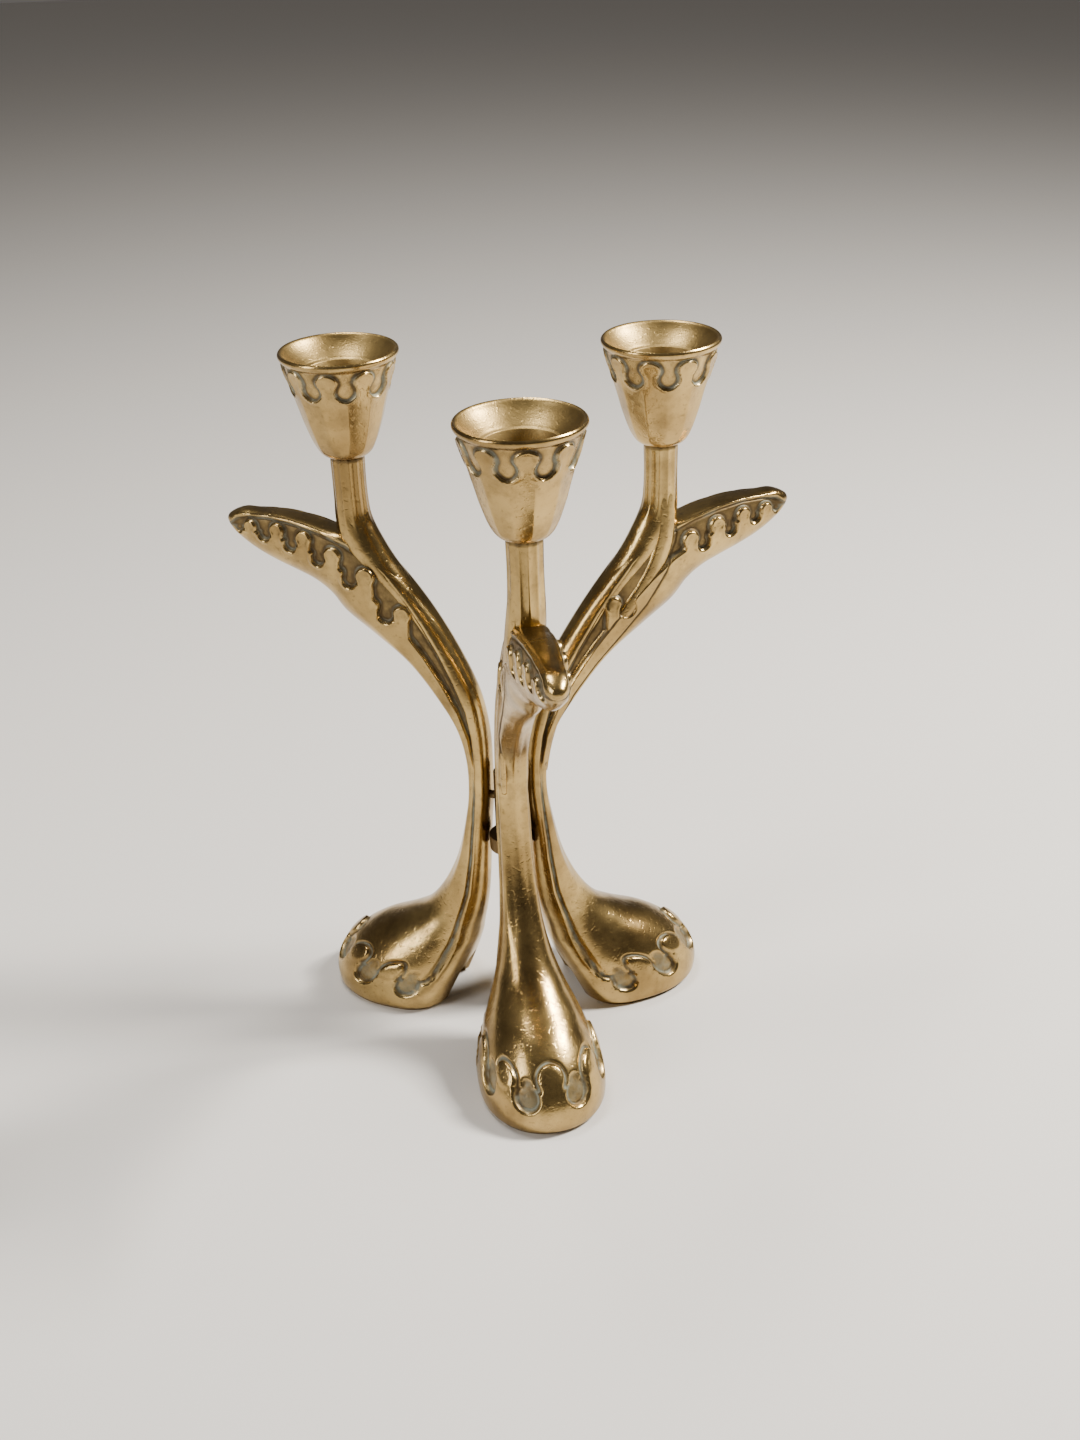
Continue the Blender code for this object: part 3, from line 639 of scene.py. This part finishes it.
# The flat strip down the clockwise side, from the neck to the waist
STRIP_PATH = [
    (56.4, -2.0, 205.0, 2.2, 2.8),
    (56.4, -3.0, 198.0, 2.5, 3.3),
    (56.2, -4.0, 190.0, 2.5, 3.7),
    (55.0, -4.9, 181.5, 2.3, 3.8),
    (51.9, -5.2, 173.0, 2.2, 3.7),
    (46.6, -5.1, 164.2, 2.1, 3.5),
    (39.6, -4.8, 155.4, 2.0, 3.3),
    (31.4, -4.3, 146.2, 1.9, 3.0),
    (23.6, -3.9, 136.2, 1.8, 2.7),
    (17.6, -3.6, 125.0, 1.7, 2.4),
    (14.2, -3.4, 113.0, 1.5, 2.1),
    (12.6, -3.2, 101.0, 1.2, 1.7),
]


def swept_bar(name, place, path, steps, facets, facet_depth, facet_fade=None):
    """A faceted bar along a smooth path: a grid rolled into a tube, its ends drawn to a point."""
    path = np.array(path, float)
    spans = len(path) - 1
    line = smooth_rows(path, np.linspace(0, spans, ROWS_PER_SPAN * spans + 3))
    heading = np.gradient(line[:, :3], axis=0)
    heading /= np.linalg.norm(heading, axis=1, keepdims=True)
    side = np.tile(np.array([0.0, 1.0, 0.0]), (len(line), 1))
    depth = np.cross(heading, side)
    depth /= np.linalg.norm(depth, axis=1, keepdims=True)
    line, side, depth = (np.concatenate([rows[:1], rows, rows[-1:]]) for rows in (line, side, depth))
    size = line[:, 3:5].copy()
    size[[0, -1]] = 0
    bm = bmesh.new()
    bmesh.ops.create_grid(bm, x_segments=steps, y_segments=len(line) - 1, size=0.5)
    found = np.array([v.co[:2] for v in bm.verts])
    column = np.round((found[:, 0] + 0.5) * steps).astype(int)
    row = np.round((found[:, 1] + 0.5) * (len(line) - 1)).astype(int)
    turned_by = column / steps * 2 * math.pi
    flat = np.cos(((turned_by * facets / (2 * math.pi)) % 1 - 0.5) * 2 * math.pi / facets)
    faceted = facet_depth * ease(line[row, 2], *facet_fade) if facet_fade else facet_depth
    shrink = 1 - faceted * (flat - math.cos(math.pi / facets))
    wide = np.cos(turned_by) * shrink * size[row, 0]
    deep = np.sin(turned_by) * shrink * size[row, 1]
    points = line[row, :3] + side[row] * wide[:, None] + depth[row] * deep[:, None]
    # Darker where the bar runs down into the branch, and a dark line at its top, at the joint under the cup
    root_darkening = 0.225 * ease(-points[:, 2], -187, -176)
    neck_darkening = np.clip(root_darkening + 0.6 * ease(points[:, 2], 212.6, 214.0), 0, 1)
    dark = bm.verts.layers.float.new("hollow")
    for vert, point, share in zip(bm.verts, in_frame(points, place), neck_darkening):
        vert.co = point
        vert[dark] = share
    bmesh.ops.remove_doubles(bm, verts=bm.verts[:], dist=MERGE_DISTANCE)
    made = smooth_object(bm, name)
    made.data.materials.append(arm_brass)
    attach(made, "root")


for place in ARM_ANGLES:
    swept_bar("neck_" + place, place, NECK_PATH, NECK_STEPS, NECK_FACETS, NECK_FACET_DEPTH, NECK_FACET_FADE)
    swept_bar("strip_" + place, place, STRIP_PATH, STRIP_STEPS, STRIP_FACETS, STRIP_FACET_DEPTH)


# ---------------------------------------------------------------------------
# Cups: cast bells with a rolled rim. A band of drips hangs under the rim, sunk into
# the side. Inside is a satin dish and the turned socket for the candle.
# ---------------------------------------------------------------------------

CUP_REACH = 56.3
CUP_OUTSIDE = [(19.3, 251.0), (19.85, 250.75), (20.0, 250.0), (19.8, 249.35), (19.25, 248.7), (18.95, 247.8)]
CUP_OUTSIDE += [(18.4, 245.0), (17.55, 242.2), (16.7, 239.7), (15.6, 235.6), (14.5, 231.8), (13.45, 227.8)]
CUP_OUTSIDE += [(12.2, 224.0), (11.3, 221.4), (10.4, 219.3), (9.5, 217.6), (8.6, 216.4), (7.6, 215.5)]
CUP_OUTSIDE += [(6.3, 215.0)]
CUP_BORE = [(2.3, 215.0), (2.3, 229.2), (4.5, 229.2), (4.5, 232.0), (11.3, 232.0), (11.3, 243.9)]
CUP_BORE += [(11.55, 244.2)]
CUP_DISH = [(12.1, 244.25), (12.35, 244.6), (13.6, 245.5), (15.0, 246.7), (16.4, 248.0)]
CUP_DISH += [(17.6, 249.3), (18.5, 250.7)]
CUP_STEPS = 208
CUP_DRIPS = 9
FIRST_DRIP = {"front": -106, "left": -80, "right": -87}
# The wave round the cup, in mm: heights of the tongues' and the drips' centres, and their sizes
BAND_RADIUS = 17.2
TONGUE_CENTRE, TONGUE_RADIUS, TONGUE_NECK, TONGUE_FOOT = 243.9, 3.55, 2.5, 230.0
DRIP_CENTRE, DRIP_RADIUS, DRIP_NECK, DRIP_TOP = 241.3, 3.65, 2.35, 249.0
BAND_LINE = 239.5
BAND_DEPTH = 1.15
BAND_LIP = 0.30
CUP_FACETS = 12
CUP_FACET_SHARE = 0.75
SIDE_SKIN = 0.75
SHARP_ANGLE = 50


def even_profile(rows, pitch_mm, rounds):
    """A profile with points evenly along it, its corners softened by some rounds of averaging."""
    rows = np.array(rows)
    run = np.concatenate([[0], np.cumsum(np.linalg.norm(np.diff(rows, axis=0), axis=1))])
    even = np.linspace(0, run[-1], max(2, int(run[-1] / pitch_mm)) + 1)
    rows = np.stack([np.interp(even, run, rows[:, 0]), np.interp(even, run, rows[:, 1])], -1)
    for _ in range(rounds):
        rows[1:-1] = (rows[:-2] + 2 * rows[1:-1] + rows[2:]) / 4
    return rows


def cup_axis(place):
    reach = CUP_REACH + CUP_BEND[place]
    angle = math.radians(ARM_ANGLES[place])
    return np.array([reach * math.cos(angle) + AXIS_X, reach * math.sin(angle) + AXIS_Y, 0.0])


cup_brass = aged_brass("aged_cup_brass", (0.57, 0.400, 0.157), (0.32, 0.210, 0.077), 0.235)
profile = np.concatenate([even_profile(CUP_OUTSIDE, 0.38, 4), CUP_BORE, even_profile(CUP_DISH, 0.6, 2)])
wall_radii, wall_heights = np.array(CUP_OUTSIDE[::-1]).T
for place in ARM_ANGLES:
    bm = bmesh.new()
    verts = [bm.verts.new((pr * 0.001, 0, pz * 0.001)) for pr, pz in profile]
    edges = [bm.edges.new(pair) for pair in zip(verts, verts[1:] + verts[:1])]
    whole = {"cent": (0, 0, 0), "axis": (0, 0, 1), "angle": 2 * math.pi, "use_merge": True}
    bmesh.ops.spin(bm, geom=verts + edges, steps=CUP_STEPS, **whole)
    bmesh.ops.remove_doubles(bm, verts=bm.verts[:], dist=1e-6)
    cup = smooth_object(bm, "bell_" + place)
    mesh = cup.data
    flat = np.empty(len(mesh.vertices) * 3)
    mesh.vertices.foreach_get("co", flat)
    points = flat.reshape(-1, 3) * 1000
    cr = np.hypot(points[:, 0], points[:, 1])
    cz = points[:, 2]
    ca = np.arctan2(points[:, 1], points[:, 0]) - math.radians(FIRST_DRIP[place])
    wall = np.interp(cz, wall_heights, wall_radii)
    side_wall = (cr > wall - SIDE_SKIN) & (cz < 249.2) & (cz > 214.3)

    # Distance to the wavy edge between the sunk band and the tongues of the body
    wave_pitch = 2 * math.pi / CUP_DRIPS
    phase = (ca + wave_pitch / 2) % wave_pitch - wave_pitch / 2
    aside = np.abs(phase) * BAND_RADIUS
    from_tongue = aside - wave_pitch / 2 * BAND_RADIUS
    tongue = np.hypot(from_tongue, cz - TONGUE_CENTRE) - TONGUE_RADIUS
    tongue_bar = np.hypot(from_tongue, cz - np.clip(cz, TONGUE_FOOT, TONGUE_CENTRE)) - TONGUE_NECK
    drip_disc = np.hypot(aside, cz - DRIP_CENTRE) - DRIP_RADIUS
    drip_bar = np.hypot(aside, cz - np.clip(cz, DRIP_CENTRE, DRIP_TOP)) - DRIP_NECK
    band = soft_min(soft_min(tongue, tongue_bar, 0.8), cz - BAND_LINE, 1.0)
    band = -soft_min(-band, soft_min(drip_disc, drip_bar, 0.8), 0.8)
    clear_of_lip = 1 - ease(cz, 247.4, 249.0)
    sunk_mm = BAND_DEPTH * ease(band, -0.3, 0.7) * clear_of_lip
    sunk_mm = sunk_mm * (0.62 + 0.38 * ease(-cz, -246.5, -241.0))
    lip_mm = BAND_LIP * hump(band, -0.5, 0.42) * clear_of_lip
    # Filed facets down the body
    facet = np.cos(((ca * CUP_FACETS / (2 * math.pi)) % 1 - 0.5) * 2 * math.pi / CUP_FACETS)
    faceted = (math.cos(math.pi / CUP_FACETS) / facet - 1) * CUP_FACET_SHARE
    faceted = faceted * ease(-cz, -241, -234) * ease(cz, 216.0, 219.5)
    change = np.where(side_wall, -sunk_mm + lip_mm + faceted * cr, 0.0)
    points[:, :2] *= ((cr + change) / np.maximum(cr, 1e-6))[:, None]
    points += cup_axis(place)
    mesh.vertices.foreach_set("co", (points * 0.001).ravel())

    inside = (cr < wall - 0.9) & (cz > 228)
    dark = ease(band, -0.2, 0.5) * (0.30 + 0.70 * hump(band, 0.45, 0.75))
    dark = np.where(side_wall, dark * clear_of_lip, 0)
    dark = np.maximum(dark, np.where(cz < 215.2, 0.5, 0))
    # Painted shade: the dish and the socket are darkened more the deeper they go
    inside_painted_shade = np.interp(cz, [229, 232, 243.5, 245, 251], [0.90, 0.80, 0.50, 0.16, 0.06])
    pale = 0.9 * hump(band, 0.4, 0.5) * side_wall * clear_of_lip
    marks = {"hollow": np.where(inside, inside_painted_shade, dark), "inside": inside * 1.0, "residue": pale}
    for label, values in marks.items():
        layer = mesh.attributes.new(label, "FLOAT", "POINT")
        layer.data.foreach_set("value", np.asarray(values, np.float32))
    mesh.set_sharp_from_angle(angle=math.radians(SHARP_ANGLE))
    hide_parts("cup_" + place)
    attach(cup, "root")
    mesh.materials.append(cup_brass)


# ---------------------------------------------------------------------------
# Core, pins and screws: plain brass. The core and pins are coloured dark, as painted shade for where they sit
# between the castings and as brass that nobody polishes
# ---------------------------------------------------------------------------


def give_material(names, material):
    for name in names:
        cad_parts[name].data.materials.clear()
        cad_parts[name].data.materials.append(material)


# Painted shade: the core and pins get a dark copy of the brass for the shade between the castings
core_brass_painted_shade = aged_brass("painted_shade_core_brass", (0.17, 0.11, 0.045), (0.09, 0.06, 0.028), 0.50)
screw_brass = aged_brass("screw_head_brass", (0.52, 0.37, 0.18), (0.35, 0.24, 0.11), 0.34)
give_material(("hub_core", "hub_pin_front", "hub_pin_left", "hub_pin_right"), core_brass_painted_shade)
give_material(("cup_screw_front", "cup_screw_left", "cup_screw_right"), screw_brass)


# ---------------------------------------------------------------------------
# Floor and lights: a plain pale sweep and soft boxes
# ---------------------------------------------------------------------------

FLOOR_HALF = 4.0
bm = bmesh.new()
bmesh.ops.create_grid(bm, x_segments=1, y_segments=1, size=FLOOR_HALF)
floor_mesh = bpy.data.meshes.new("floor")
bm.to_mesh(floor_mesh)
bm.free()
floor = bpy.data.objects.new("floor", floor_mesh)
bpy.context.scene.collection.objects.link(floor)
paper = bpy.data.materials.new("pale_paper")
paper.use_nodes = True
paper_shader = paper.node_tree.nodes["Principled BSDF"]
paper_shader.inputs["Base Color"].default_value = (0.70, 0.68, 0.655, 1)
paper_shader.inputs["Roughness"].default_value = 0.75
floor.data.materials.append(paper)


def soft_box(name, place, aim, size, watts, colour):
    data = bpy.data.lights.new(name, "AREA")
    data.shape = "RECTANGLE"
    data.size, data.size_y = size
    data.energy = watts
    data.color = colour
    made = bpy.data.objects.new(name, data)
    look = Vector(place) - Vector(aim)
    made.matrix_world = Matrix.Translation(place) @ look.to_track_quat("Z", "Y").to_matrix().to_4x4()
    bpy.context.scene.collection.objects.link(made)


soft_box("key", (0.80, 0.10, 0.95), (0, 0, 0.12), (0.20, 0.32), 34, (1.0, 0.95, 0.87))
soft_box("fill", (-0.9, -0.5, 0.6), (0, 0, 0.12), (0.3, 0.8), 7, (1.0, 0.97, 0.94))
soft_box("above", (-0.25, 0.25, 1.2), (0, 0, 0.15), (0.5, 0.2), 9, (1.0, 0.96, 0.9))

room = bpy.data.worlds.new("room")
bpy.context.scene.world = room
room.use_nodes = True
sky = room.node_tree.nodes["Background"]
sky.inputs["Color"].default_value = (0.55, 0.51, 0.47, 1)
sky.inputs["Strength"].default_value = 0.23
